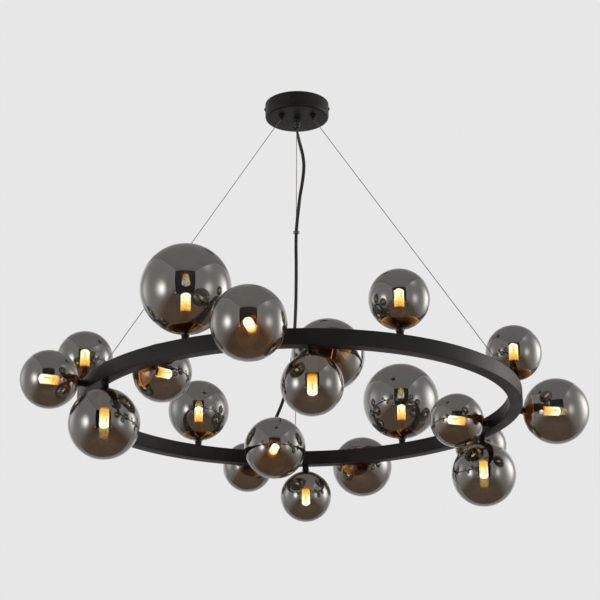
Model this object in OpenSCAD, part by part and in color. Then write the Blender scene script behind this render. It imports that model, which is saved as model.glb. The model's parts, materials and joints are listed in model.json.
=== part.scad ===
// Ring chandelier: a black box-section ring hangs on three steel cables and
// carries twenty smoked glass globes that point up, down, inwards and outwards.
// Millimetres. The origin is the middle of the canopy's rim, against the ceiling.

/* [Canopy] */
// Diameter of the canopy
canopy_d = 120; // [114:1:150]
// Height of the canopy
canopy_h = 30; // [28:1:40]
// Wall of the canopy
canopy_wall = 1.2; // [0.8:0.1:1.6]
// Radius of the canopy's lower edge
canopy_edge_r = 5; // [2:0.5:8]

/* [Ceiling bracket] */
// Width of the bracket strip
bracket_w = 18; // [14:1:20]
// Thickness of the bracket strip
bracket_t = 2; // [1.5:0.1:2.5]
// Depth of the bracket's end tabs below the ceiling
bracket_tab_h = 14; // [13:1:18]
// Distance between the two ceiling screw holes
ceiling_hole_pitch = 70; // [50:1:80]
// Diameter of the ceiling screw holes
ceiling_hole_d = 5; // [4:0.1:6]
// Depth of the canopy screws below the ceiling
canopy_screw_z = 9; // [8:0.5:10]
// Shank diameter of the canopy screws
canopy_screw_d = 4; // [3:0.5:5]
// Head diameter of the canopy screws
canopy_screw_head_d = 7; // [6:0.5:8]
// Head height of the canopy screws
canopy_screw_head_h = 2; // [1.5:0.1:2.5]

/* [Terminal block] */
// Length of the terminal block
terminal_l = 24; // [20:1:30]
// Width of the terminal block
terminal_w = 14; // [12:1:16]
// Height of the terminal block
terminal_h = 11; // [9:1:12]
// Diameter of the terminal screw wells
terminal_well_d = 4; // [3:0.5:5]

/* [Cord grip] */
// Diameter of the grip below the canopy
grip_d = 13; // [12:0.5:16]
// Height of the grip below the canopy
grip_h = 17; // [12:0.5:20]
// Chamfer round the grip's lower end
grip_chamfer = 1.2; // [0.5:0.1:2]
// Diameter of the grip's threaded stud
grip_stud_d = 9; // [8:0.5:10]
// Width across the flats of the grip's nut
grip_nut_af = 14; // [13:0.5:16]
// Height of the grip's nut
grip_nut_h = 4; // [3:0.5:5]

/* [Cables] */
// Distance of the three cable outlets from the canopy's axis
outlet_r = 34; // [30:1:40]
// Azimuth of the rear cable, the other two being a third of a turn away
cable_azimuth = 91.5; // [80:0.5:100]
// Diameter of the steel cables
cable_d = 1.5; // [1:0.1:2]
// Extra diameter of a cable where it bends
cable_bend_swell = 0.1; // [0.1:0.05:0.3]
// Length of cable that stands up out of a gripper
cable_tail = 6; // [3:1:8]
// Diameter of the swivel balls
ball_d = 8; // [7:0.5:9]
// Distance of a ball's centre from the face that it is screwed to
ball_reach = 5.5; // [5:0.5:6.5]
// Diameter of the flange round each ball
ball_flange_d = 12; // [11:0.5:14]
// Height of the flange round each ball
ball_flange_h = 3.5; // [2.5:0.5:4]
// Diameter of the threaded studs of outlets and anchors
stud_d = 6; // [5:0.5:6]
// Width across the flats of the cable grippers and anchor nuts
gripper_af = 10; // [9:0.5:11]
// Height of the cable grippers in the canopy
gripper_h = 13; // [10:1:14]
// Height of the anchor nuts in the ring
anchor_nut_h = 3; // [2:0.5:4]

/* [Power cord] */
// Width of the flat power cord
cord_w = 6.4; // [5:0.1:7]
// Thickness of the flat power cord
cord_t = 3; // [2.5:0.1:3.2]
// Diameter of the single wires at the cord's ends
lead_d = 1.4; // [1:0.1:1.6]
// Distance down the rear cable of the clip that ties the cord to it
clip_run = 200; // [195:1:205]
// Width of the clip
clip_w = 13; // [12:0.5:16]
// Depth of the clip
clip_depth = 8.5; // [8:0.5:10]
// Height of the clip along the cable
clip_h = 6; // [5:0.5:8]
// Azimuth at which the cord enters the ring
cord_entry_azimuth = 101; // [100.8:0.1:101.2]
// Diameter of the grommet's upper flange
grommet_d = 12; // [11:0.5:14]
// Height of the grommet's upper flange
grommet_h = 1.5; // [1:0.5:2]
// Diameter of the grommet's neck
grommet_neck_d = 9; // [8.5:0.5:10]

/* [Ring] */
// Outer diameter of the ring
ring_od = 790; // [780:5:820]
// Width of the ring's section
ring_w = 23.5; // [22.5:0.5:26]
// Height of the ring's section
ring_h = 27; // [25:0.5:30]
// Wall of the ring's tube
ring_wall = 1.5; // [1:0.1:2]
// Depth of the ring's middle below the ceiling
ring_drop = 593; // [590:1:600]
// Side of the two square wires that run round inside the ring
wire_w = 2; // [1.5:0.1:2.2]
// Distance of each ring wire from the section's middle, inwards and upwards alike
wire_offset = 2; // [1.6:0.1:2.2]

/* [Globes] */
// Diameter of the large globes
globe_large = 150; // [140:1:160]
// Diameter of the medium globes
globe_medium = 120; // [112:1:125]
// Diameter of the small globes
globe_small = 100; // [98:1:105]
// Wall of the glass
glass_wall = 2; // [1.5:0.1:3]
// Height of the neck round a globe's mouth
neck_h = 4; // [2:0.5:5]
// Diameter of the neck at its open end
neck_d = 14; // [13:0.5:15]
// Diameter of the neck where it meets the globe
neck_base_d = 24; // [20:0.5:26]

/* [Lamp fittings] */
// Free length of a stem between ring and globe
stem_gap = 8.5; // [6:0.5:12]
// Diameter of a stem
stem_d = 13; // [12:0.5:15]
// Diameter of a stem's threaded ends
stem_thread_d = 10; // [9:0.5:10]
// Bore of a stem
stem_bore = 7; // [6.5:0.1:7.5]
// Width across the flats of a lock nut
lock_nut_af = 13; // [12:0.5:14]
// Height of a lock nut
lock_nut_h = 3; // [2:0.5:4]
// Diameter of a brass cup's rim
cup_d = 60; // [50:1:62]
// Wall of a brass cup
cup_wall = 1.2; // [0.8:0.1:1.6]
// Diameter of the column on a brass cup
column_d = 21; // [20:0.5:24]
// Height of the column's top above the glass
column_h = 34.5; // [32:0.5:38]
// Thickness of the column's floor
column_floor = 5; // [4:0.5:6]
// Wall of the column
column_wall = 1.5; // [1:0.1:2]
// Depth of the column's two turned grooves
groove_depth = 0.5; // [0.2:0.1:0.7]
// Width of the column's two turned grooves
groove_w = 1; // [0.5:0.1:2]
// Distance of the lampholder below the column's top
holder_drop = 3; // [2:0.5:4]

/* [Bulbs] */
// Diameter of a bulb's capsule
bulb_d = 16; // [14:0.5:16.5]
// Length of a bulb's capsule
bulb_l = 34; // [30:1:36]
// Radius of the dome on a bulb's end
bulb_dome_r = 10.5; // [9:0.5:14]
// Width of a bulb's pinched base
pinch_w = 14; // [12:0.5:14]
// Thickness of a bulb's pinched base
pinch_t = 5.6; // [5:0.1:6]
// Length of a bulb's pinched base
pinch_l = 11.3; // [10:0.1:12]
// Distance between a bulb's two pins
pin_pitch = 9; // [8:0.5:10]
// Diameter of a bulb's pins
pin_d = 2; // [1.6:0.1:2.4]
// Length of a bulb's pins
pin_l = 6; // [5:0.5:7]

/* [Clearances] */
// Radial clearance of fixed pins and studs in their holes
fixed_gap = 0.05; // [0.02:0.01:0.1]
// Radial clearance between a globe and its collar
turn_gap = 0.1; // [0.05:0.01:0.1]
// Gap between a globe and the pieces on either side of it
glass_gap = 0.3; // [0.2:0.05:0.4]
// Gap between a bulb and its lampholder
bulb_gap = 0.3; // [0.2:0.05:0.4]
// Gap between the cord and its clip
cord_gap = 0.5; // [0.4:0.1:0.6]
// Gap between the bracket's tabs and the canopy
bracket_gap = 0.3; // [0.2:0.1:0.5]

/* [Hidden] */
$fn = 72;

// Each lamp has a side of the ring, an azimuth and a globe diameter.
lamps = [
    ["out", 6.5, globe_medium],
    ["in", 20.5, globe_small],
    ["down", 27, globe_medium],
    ["out", 40, globe_small],
    ["up", 58.5, globe_large],
    ["out", 74.5, globe_medium],
    ["down", 88.5, globe_small],
    ["in", 99.5, globe_medium],
    ["out", 103.5, globe_small],
    ["up", 121.5, globe_medium],
    ["up", 187, globe_small],
    ["out", 202.5, globe_small],
    ["down", 212, globe_medium],
    ["in", 222, globe_small],
    ["up", 241.5, globe_large],
    ["out", 260.5, globe_medium],
    ["down", 273, globe_small],
    ["in", 279, globe_medium],
    ["up", 295, globe_small],
    ["up", 351.5, globe_small]
];

// The power cord's route: x, y, z and the azimuth that its width faces.
cord_route = [
    [0, 0, -47, 60],
    [0, 0, -54, 60],
    [2, 3, -66, 40],
    [6, 12, -80, 20],
    [10, 24, -93, 0],
    [12, 38, -106, 0],
    [11, 55, -119, 0],
    [8, 73, -134, 0],
    [4, 91, -150, 0],
    [1, 108, -169, 0],
    [-2, 123, -190, 0],
    [-4, 139, -211, 0],
    [-4.5, 154, -234, 0],
    [-4.5, 171, -261, 0],
    [-5, 190, -292, 0],
    [-6, 210, -325, 0],
    [-8, 231, -360, 0],
    [-11, 252, -395, 0],
    [-16, 275, -429, 0],
    [-23, 299, -460, 0],
    [-33, 323, -488, 0],
    [-45, 345, -512, 0],
    [-58, 362, -534, 0],
    [-68, 372, -553, 0],
    [-73, 376, -568, 0],
    [-73, 376, -578, 0]
];
cord_steps = 3;

ring_r = ring_od / 2;
ring_inner_r = ring_r - ring_w;
ring_mid_r = ring_r - ring_w / 2;
ring_top = -ring_drop + ring_h / 2;
canopy_floor = -canopy_h + canopy_wall;
canopy_inner_r = canopy_d / 2 - canopy_wall;
bracket_reach = sqrt(pow(canopy_inner_r, 2) - pow(bracket_w / 2, 2)) - bracket_gap;
grip_top = canopy_floor + grip_nut_h + 2;
clearance_d = 2 * fixed_gap;

// The swivel balls' centres, as distances from the axis and heights.
outlet_z = -canopy_h - ball_reach;
anchor_z = ring_top + ball_reach;
cable_slant = atan2(ring_mid_r - outlet_r, outlet_z - anchor_z);
cable_run = norm([ring_mid_r - outlet_r, outlet_z - anchor_z]);
gripper_top = canopy_floor + gripper_h;
cable_azimuths = [cable_azimuth, cable_azimuth + 120, cable_azimuth + 240];

// Heights above the ring's face, along a lamp's own axis.
glass_pole = stem_gap + glass_gap / 2 + neck_h;
cup_pole = glass_pole + glass_wall + glass_gap;
floor_top = cup_pole + column_floor;
column_top = glass_pole + column_h;
holder_top = column_top - holder_drop;
holder_d = column_d - 2 * column_wall - clearance_d;
capsule_base = column_top + bulb_gap;
pinch_base = capsule_base - pinch_l;
pin_base = pinch_base - pin_l;
lock_nut_r = lock_nut_af / 2 / cos(30);
// A brass cup hugs the inside of its globe, which has a diameter of d.
function cup_curve(d) = d / 2 - glass_wall - glass_gap;
function cup_rim(d) = glass_pole + d / 2 - sqrt(pow(cup_curve(d), 2) - pow(cup_d / 2, 2));
// Spacing of the cord's two leads, and how they are turned where the cord enters the ring.
lead_spread = cord_w / 4;
entry_turn = 0;

function side_tilt(side) = side == "up" ? 0 : side == "out" ? 90 : side == "down" ? 180 : -90;
function face_r(side) = side == "out" ? ring_r
    : side == "in" ? sqrt(pow(ring_inner_r, 2) - pow(stem_d / 2, 2))
    : ring_mid_r;
function face_z(side) = side == "up" ? ring_h / 2 : side == "down" ? -ring_h / 2 : 0;
// Depth of the tube's inner wall behind the face, where a lock nut lies flat.
function nut_seat(side) = side == "out" ? ring_r - sqrt(pow(ring_r - ring_wall, 2) - pow(lock_nut_r, 2))
    : side == "in" ? ring_inner_r + ring_wall - face_r("in")
    : ring_wall;
// A point of the ring's section, given outwards and upwards from its middle, in a lamp's frame.
function in_lamp(side, out, up) = let (t = side_tilt(side), x = ring_mid_r + out - face_r(side),
    z = up - face_z(side)) [x * cos(t) - z * sin(t), x * sin(t) + z * cos(t)];

function two_digits(i) = i < 9 ? str("0", i + 1) : str(i + 1);
function globe_name(i) = str("globe_", two_digits(i));
function bulb_name(i) = str("bulb_", two_digits(i));

// Places and simple forms

module at_lamp(i) {
    side = lamps[i][0];
    rotate([0, 0, lamps[i][1]])
        translate([face_r(side), 0, face_z(side) - ring_drop])
            rotate([0, side_tilt(side), 0]) children();
}

module at_cable(azimuth) {
    rotate([0, 0, azimuth]) children();
}

module at_cord_entry() {
    rotate([0, 0, cord_entry_azimuth]) translate([ring_mid_r, 0, ring_top]) children();
}

module along_cable() {
    translate([ring_mid_r, 0, anchor_z]) rotate([0, -cable_slant, 0]) children();
}

module hex_bar(af, h) {
    cylinder(d = af / cos(30), h = h, $fn = 6);
}

module both_ends() {
    children();
    mirror([1, 0, 0]) children();
}

// A round block whose lower edge is rounded to a radius of edge.
module rounded_cup(r, h, edge) {
    rotate_extrude() {
        square([r - edge, h]);
        translate([0, edge]) square([r, h - edge]);
        translate([r - edge, edge]) circle(r = edge);
    }
}

// Ceiling mount

module ceiling_bracket() {
    color("silver") difference() {
        union() {
            translate([-bracket_reach, -bracket_w / 2, -bracket_t])
                cube([2 * bracket_reach, bracket_w, bracket_t]);
            both_ends() translate([bracket_reach - bracket_t, -bracket_w / 2, -bracket_tab_h])
                cube([bracket_t, bracket_w, bracket_tab_h]);
        }
        both_ends() translate([ceiling_hole_pitch / 2, 0, -bracket_t - 1])
            cylinder(d = ceiling_hole_d, h = bracket_t + 2);
        translate([-canopy_d / 2, 0, -canopy_screw_z]) rotate([0, 90, 0])
            cylinder(d = canopy_screw_d + clearance_d, h = canopy_d);
    }
}

module canopy() {
    color("#1d1c1b") difference() {
        translate([0, 0, -canopy_h]) rounded_cup(canopy_d / 2, canopy_h, canopy_edge_r);
        translate([0, 0, canopy_floor])
            rounded_cup(canopy_inner_r, canopy_h, canopy_edge_r - canopy_wall);
        translate([-canopy_d, 0, -canopy_screw_z]) rotate([0, 90, 0])
            cylinder(d = canopy_screw_d + clearance_d, h = 2 * canopy_d);
        translate([0, 0, -canopy_h - 1]) cylinder(d = grip_stud_d + clearance_d, h = canopy_wall + 2);
        for (a = cable_azimuths) at_cable(a) translate([outlet_r, 0, -canopy_h - 1])
            cylinder(d = stud_d + clearance_d, h = canopy_wall + 2);
    }
}

module canopy_screw() {
    shank = canopy_d / 2 - bracket_reach + bracket_t + 2;
    difference() {
        union() {
            translate([canopy_d / 2 - shank, 0, 0]) rotate([0, 90, 0])
                cylinder(d = canopy_screw_d, h = shank + canopy_screw_head_h * 0.2);
            translate([canopy_d / 2, 0, 0]) rotate([0, 90, 0])
                cylinder(d1 = canopy_screw_head_d, d2 = canopy_screw_head_d * 0.7, h = canopy_screw_head_h);
        }
        translate([canopy_d / 2 + canopy_screw_head_h * 0.4, 0, 0]) rotate([0, 90, 0])
            hex_bar(canopy_screw_d * 0.6, canopy_screw_head_h);
    }
}

module canopy_screws() {
    color("#1d1c1b") both_ends() translate([0, 0, -canopy_screw_z]) canopy_screw();
}

// The leads run down through the cord grip to the end of the cord.
module lead_pair(low, high, turn, spread) {
    rotate([0, 0, turn]) both_ends() translate([spread, 0, low]) cylinder(d = lead_d, h = high - low);
}

module lead_holes(low, high, turn, spread) {
    rotate([0, 0, turn]) both_ends() translate([spread, 0, low])
        cylinder(d = lead_d + clearance_d, h = high - low);
}

module terminal_block() {
    bottom = -bracket_t - terminal_h;
    color("ivory") difference() {
        translate([-terminal_l / 2, -terminal_w / 2, bottom]) cube([terminal_l, terminal_w, terminal_h]);
        both_ends() translate([terminal_l / 4, 0, bottom - 1]) cylinder(d = terminal_well_d, h = 4);
    }
    color("#222222") lead_pair(-canopy_h - grip_h, bottom, cord_route[0][3], lead_spread);
}

module cord_grip() {
    color("#151515") difference() {
        union() {
            translate([0, 0, -canopy_h - grip_h])
                cylinder(d1 = grip_d - 2 * grip_chamfer, d2 = grip_d, h = grip_chamfer);
            translate([0, 0, -canopy_h - grip_h + grip_chamfer])
                cylinder(d = grip_d, h = grip_h - grip_chamfer);
            translate([0, 0, -canopy_h]) cylinder(d = grip_stud_d, h = grip_top + canopy_h);
        }
        lead_holes(-canopy_h - grip_h - 1, grip_top + 1, cord_route[0][3], lead_spread);
    }
    color("#151515") difference() {
        translate([0, 0, canopy_floor]) hex_bar(grip_nut_af, grip_nut_h);
        translate([0, 0, canopy_floor - 1]) cylinder(d = grip_stud_d + clearance_d, h = grip_nut_h + 2);
    }
}

// Cables

// The straight run from a distance above the anchor, the bend in the upper ball and the upright end.
module cable_path(d, low, high) {
    along_cable() translate([0, 0, low]) cylinder(d = d, h = cable_run - low);
    translate([outlet_r, 0, outlet_z]) sphere(d = d + cable_bend_swell);
    translate([outlet_r, 0, outlet_z]) cylinder(d = d, h = high - outlet_z);
}

module cable_bore() {
    cable_path(cable_d + clearance_d, cable_run - ball_d, gripper_top + 1);
}

module cable_outlet() {
    difference() {
        union() {
            translate([outlet_r, 0, outlet_z]) sphere(d = ball_d);
            translate([outlet_r, 0, -canopy_h - ball_flange_h])
                cylinder(d = ball_flange_d, h = ball_flange_h);
            translate([outlet_r, 0, -canopy_h]) cylinder(d = stud_d, h = canopy_wall + gripper_h / 3);
        }
        cable_bore();
    }
}

module cable_outlets() {
    color("#151515") for (a = cable_azimuths) at_cable(a) cable_outlet();
}

module cable_gripper() {
    difference() {
        translate([outlet_r, 0, canopy_floor]) hex_bar(gripper_af, gripper_h);
        translate([outlet_r, 0, canopy_floor - 1])
            cylinder(d = stud_d + clearance_d, h = gripper_h / 3 + 1 + fixed_gap);
        cable_bore();
    }
}

module cable_grippers() {
    color("silver") for (a = cable_azimuths) at_cable(a) cable_gripper();
}

module suspension_cable(azimuth) {
    color("gainsboro") at_cable(azimuth) cable_path(cable_d, 0, gripper_top + cable_tail);
}

module cable_anchor() {
    difference() {
        union() {
            translate([ring_mid_r, 0, anchor_z]) sphere(d = ball_d);
            translate([ring_mid_r, 0, ring_top]) cylinder(d = ball_flange_d, h = ball_flange_h);
            translate([ring_mid_r, 0, ring_top - ring_wall - anchor_nut_h - 1])
                cylinder(d = stud_d, h = ring_wall + anchor_nut_h + 1);
        }
        along_cable() cylinder(d = cable_d + clearance_d, h = ball_d);
    }
    translate([ring_mid_r, 0, ring_top - ring_wall - anchor_nut_h]) difference() {
        hex_bar(gripper_af, anchor_nut_h);
        translate([0, 0, -1]) cylinder(d = stud_d + clearance_d, h = anchor_nut_h + 2);
    }
}

module cable_anchors() {
    color("#151515") for (a = cable_azimuths) at_cable(a) cable_anchor();
}

// Power cord

// A smooth curve through four points, at a share u of the way from the second to the third.
function curve(a, b, c, d, u) = 0.5 * (2 * b + u * (c - a) + pow(u, 2) * (2 * a - 5 * b + 4 * c - d)
    + pow(u, 3) * (3 * b - a - 3 * c + d));
function route_point(i) = i < 0 ? 2 * cord_route[0] - cord_route[1]
    : i >= len(cord_route) ? 2 * cord_route[len(cord_route) - 1] - cord_route[len(cord_route) - 2]
    : cord_route[i];
function route_at(s) = let (i = floor(s))
    curve(route_point(i - 1), route_point(i), route_point(i + 1), route_point(i + 2), s - i);
function place(p) = [p[0], p[1], p[2]];
function unit(v) = v / norm(v);
// The cord's flat section: eight points, four on each rounded edge.
function section_point(k) = let (a = 22.5 + 45 * k, edge = cos(a) > 0 ? 1 : -1)
    [edge * (cord_w - cord_t) / 2 + cord_t / 2 * cos(a) / cos(22.5), cord_t / 2 * sin(a) / sin(67.5)];
function cord_ring(s) = let (
    here = route_at(s),
    along = unit(place(route_at(s + 0.01)) - place(route_at(s - 0.01))),
    facing = [cos(here[3]), sin(here[3]), 0],
    wide = unit(facing - (facing * along) * along),
    thick = cross(along, wide)
) [for (k = [0 : 7]) place(here) + section_point(k)[0] * wide + section_point(k)[1] * thick];

module power_cord() {
    last = (len(cord_route) - 1) * cord_steps;
    points = [for (j = [0 : last]) each cord_ring(j / cord_steps)];
    sides = [for (j = [0 : last - 1], k = [0 : 7])
        [8 * j + k, 8 * j + (k + 1) % 8, 8 * (j + 1) + (k + 1) % 8, 8 * (j + 1) + k]];
    caps = [[for (k = [7 : -1 : 0]) k], [for (k = [0 : 7]) 8 * last + k]];
    color("#101010") polyhedron(points, concat(sides, caps), convexity = 6);
}

module cord_clip() {
    cord_y = cable_d / 2 + cord_t / 2 + cord_gap;
    slot_w = cord_w + 2 * cord_gap;
    slot_t = cord_t + 2 * cord_gap;
    color("lightgray") at_cable(cable_azimuth) along_cable()
        translate([-cord_y / 2, 0, cable_run - clip_run - clip_h / 2]) difference() {
            union() {
                translate([-clip_depth / 2, -(clip_w - clip_depth) / 2, 0])
                    cube([clip_depth, clip_w - clip_depth, clip_h]);
                for (side = [-1, 1]) translate([0, side * (clip_w - clip_depth) / 2, 0])
                    cylinder(d = clip_depth, h = clip_h);
            }
            translate([cord_y / 2, 0, -1]) cylinder(d = cable_d + clearance_d, h = clip_h + 2);
            translate([-cord_y / 2 - slot_t / 2, -slot_w / 2, -1]) cube([slot_t, slot_w, clip_h + 2]);
        }
}

module cord_grommet() {
    color("#151515") at_cord_entry() difference() {
        union() {
            cylinder(d = grommet_d, h = grommet_h);
            translate([0, 0, -ring_wall]) cylinder(d = grommet_neck_d, h = ring_wall);
            translate([0, 0, -ring_wall - 1]) cylinder(d = grommet_neck_d + 1.5, h = 1);
        }
        lead_holes(-ring_wall - 2, grommet_h + 1, entry_turn, lead_spread);
    }
}

// Ring

module ring_tube() {
    color("#1d1c1b") difference() {
        rotate_extrude() translate([ring_inner_r, -ring_h / 2 - ring_drop]) square([ring_w, ring_h]);
        rotate_extrude() translate([ring_inner_r + ring_wall, -ring_h / 2 + ring_wall - ring_drop])
            square([ring_w - 2 * ring_wall, ring_h - 2 * ring_wall]);
        for (i = [0 : len(lamps) - 1]) at_lamp(i) translate([0, 0, -ring_wall - 2])
            cylinder(d = stem_thread_d + clearance_d, h = ring_wall + 4);
        for (a = cable_azimuths) at_cable(a) translate([ring_mid_r, 0, ring_top - ring_wall - 1])
            cylinder(d = stud_d + clearance_d, h = ring_wall + 2);
        at_cord_entry() translate([0, 0, -ring_wall - 1])
            cylinder(d = grommet_neck_d, h = ring_wall + 2);
    }
}

module ring_wire(offset) {
    rotate_extrude() translate([ring_mid_r + offset, offset - ring_drop]) square(wire_w, center = true);
    for (i = [0 : len(lamps) - 1]) {
        start = in_lamp(lamps[i][0], offset, offset);
        at_lamp(i) translate([start[0], 0, start[1]]) cylinder(d = lead_d, h = floor_top - start[1]);
    }
}

module ring_wiring() {
    color("white") ring_wire(wire_offset);
    color("skyblue") ring_wire(-wire_offset);
}

// Lamps

module stem(side) {
    thread_low = -nut_seat(side) - lock_nut_h - 1;
    difference() {
        union() {
            cylinder(d = stem_d, h = stem_gap);
            translate([0, 0, thread_low]) cylinder(d = stem_thread_d, h = floor_top - thread_low);
        }
        translate([0, 0, thread_low - 1]) cylinder(d = stem_bore, h = floor_top - thread_low + 2);
    }
}

module stems() {
    color("#1d1c1b") for (i = [0 : len(lamps) - 1]) at_lamp(i) stem(lamps[i][0]);
}

module lock_nut(side) {
    translate([0, 0, -nut_seat(side) - lock_nut_h]) difference() {
        hex_bar(lock_nut_af, lock_nut_h);
        translate([0, 0, -1]) cylinder(d = stem_thread_d + clearance_d, h = lock_nut_h + 2);
    }
}

module lock_nuts() {
    color("silver") for (i = [0 : len(lamps) - 1]) at_lamp(i) lock_nut(lamps[i][0]);
}

module groove(height) {
    translate([0, 0, height]) difference() {
        cylinder(d = column_d + 2, h = groove_w);
        translate([0, 0, -1]) cylinder(d = column_d - 2 * groove_depth, h = groove_w + 2);
    }
}

module lamp_cup(d) {
    difference() {
        intersection() {
            translate([0, 0, glass_pole + d / 2]) sphere(r = cup_curve(d));
            union() {
                cylinder(d = column_d, h = column_top);
                difference() {
                    cylinder(d = cup_d, h = cup_rim(d));
                    translate([0, 0, glass_pole + d / 2]) sphere(r = cup_curve(d) - cup_wall);
                }
            }
        }
        cylinder(d = stem_thread_d + clearance_d, h = column_top);
        translate([0, 0, floor_top]) cylinder(d = column_d - 2 * column_wall, h = column_top);
        for (share = [0.5, 0.75]) groove(floor_top + share * (column_top - floor_top));
    }
}

module lamp_cups() {
    color("goldenrod") for (i = [0 : len(lamps) - 1]) at_lamp(i) lamp_cup(lamps[i][2]);
}

module lampholder() {
    difference() {
        translate([0, 0, floor_top]) cylinder(d = holder_d, h = holder_top - floor_top);
        translate([-pinch_w / 2 - bulb_gap, -pinch_t / 2 - bulb_gap, pinch_base - bulb_gap])
            cube([pinch_w + 2 * bulb_gap, pinch_t + 2 * bulb_gap, pinch_l + holder_drop]);
        both_ends() translate([pin_pitch / 2, 0, pin_base - bulb_gap])
            cylinder(d = pin_d + 2 * bulb_gap, h = pin_l + 1);
    }
}

module lampholders() {
    color("whitesmoke") for (i = [0 : len(lamps) - 1]) at_lamp(i) lampholder();
}

module globe(d) {
    color("gray", 0.4) translate([0, 0, glass_pole + d / 2]) difference() {
        union() {
            sphere(d = d);
            translate([0, 0, -d / 2 - neck_h])
                cylinder(d1 = neck_d, d2 = neck_base_d, h = neck_h + glass_wall);
        }
        sphere(d = d - 2 * glass_wall);
        translate([0, 0, -d]) cylinder(d = stem_thread_d + 2 * turn_gap, h = d);
    }
}

module bulb() {
    color("#ffd27f") {
        translate([0, 0, capsule_base]) intersection() {
            cylinder(d = bulb_d, h = bulb_l);
            translate([0, 0, bulb_l - bulb_dome_r]) union() {
                sphere(r = bulb_dome_r);
                translate([0, 0, -bulb_l]) cylinder(r = bulb_dome_r, h = bulb_l);
            }
        }
        translate([-pinch_w / 2, -pinch_t / 2, pinch_base]) cube([pinch_w, pinch_t, pinch_l]);
        both_ends() translate([pin_pitch / 2, 0, pin_base]) cylinder(d = pin_d, h = pin_l);
    }
}

ceiling_bracket();
canopy();
canopy_screws();
terminal_block();
cord_grip();
cable_outlets();
cable_grippers();
suspension_cable(cable_azimuths[0]);  // suspension_cable_rear
suspension_cable(cable_azimuths[1]);  // suspension_cable_left
suspension_cable(cable_azimuths[2]);  // suspension_cable_right
power_cord();
cord_clip();
cord_grommet();
ring_tube();
cable_anchors();
ring_wiring();
stems();
lock_nuts();
lamp_cups();
lampholders();
for (i = [0 : len(lamps) - 1]) {
    at_lamp(i) globe(lamps[i][2]);
    at_lamp(i) bulb();
}
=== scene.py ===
import json
import math

import bpy
from mathutils import Matrix, Vector


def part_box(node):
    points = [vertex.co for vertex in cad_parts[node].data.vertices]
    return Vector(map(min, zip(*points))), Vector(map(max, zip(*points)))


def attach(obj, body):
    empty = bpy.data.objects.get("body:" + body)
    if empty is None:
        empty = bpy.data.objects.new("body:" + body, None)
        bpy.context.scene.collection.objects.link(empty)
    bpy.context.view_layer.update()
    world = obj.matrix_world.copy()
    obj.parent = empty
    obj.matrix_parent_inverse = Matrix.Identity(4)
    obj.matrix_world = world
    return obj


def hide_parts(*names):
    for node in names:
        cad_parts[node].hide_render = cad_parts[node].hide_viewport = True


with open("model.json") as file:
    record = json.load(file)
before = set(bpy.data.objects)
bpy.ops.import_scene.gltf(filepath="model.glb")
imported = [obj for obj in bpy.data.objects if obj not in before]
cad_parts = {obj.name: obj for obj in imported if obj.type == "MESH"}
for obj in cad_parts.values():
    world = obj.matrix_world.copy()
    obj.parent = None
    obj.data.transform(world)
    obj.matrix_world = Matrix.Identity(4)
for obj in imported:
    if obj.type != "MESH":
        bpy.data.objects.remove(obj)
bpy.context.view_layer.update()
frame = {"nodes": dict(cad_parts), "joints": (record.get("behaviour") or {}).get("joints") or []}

mm = 0.001
up = Vector((0, 0, 1))

# Sizes that more than one piece uses
fixture = {
    "ringOuterR": 395 * mm,
    "ringWidth": 23.5 * mm,
    "ringHeight": 27 * mm,
    "ringDrop": 593 * mm,
    "canopyR": 60 * mm,
    "canopyHeight": 30 * mm,
    "outletR": 34 * mm,
    "cableAzimuths": (91.5, 211.5, 331.5),
    "ballReach": 5.5 * mm,
}
ringMidR = fixture["ringOuterR"] - fixture["ringWidth"] / 2
ringTop = -fixture["ringDrop"] + fixture["ringHeight"] / 2
glassPole = 12.65 * mm
glassWall = 2 * mm
cupPole = glassPole + glassWall + 0.3 * mm
columnTop = glassPole + 34.5 * mm
cupFloor = cupPole + 5 * mm
dishRimR = 30 * mm


class Wire:
    # A socket in a shader; sums on it add Math nodes.
    def __init__(self, look, socket):
        self.look = look
        self.socket = socket

    def maths(self, operation, *values):
        return self.look.node("ShaderNodeMath", {"operation": operation}, dict(enumerate(values)))

    def __add__(self, other):
        return self.maths("ADD", self, other)

    def __radd__(self, other):
        return self.maths("ADD", other, self)

    def __sub__(self, other):
        return self.maths("SUBTRACT", self, other)

    def __rsub__(self, other):
        return self.maths("SUBTRACT", other, self)

    def __mul__(self, other):
        return self.maths("MULTIPLY", self, other)

    def __rmul__(self, other):
        return self.maths("MULTIPLY", other, self)

    def __truediv__(self, other):
        return self.maths("DIVIDE", self, other)

    def __pow__(self, other):
        return self.maths("POWER", self, other)


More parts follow.
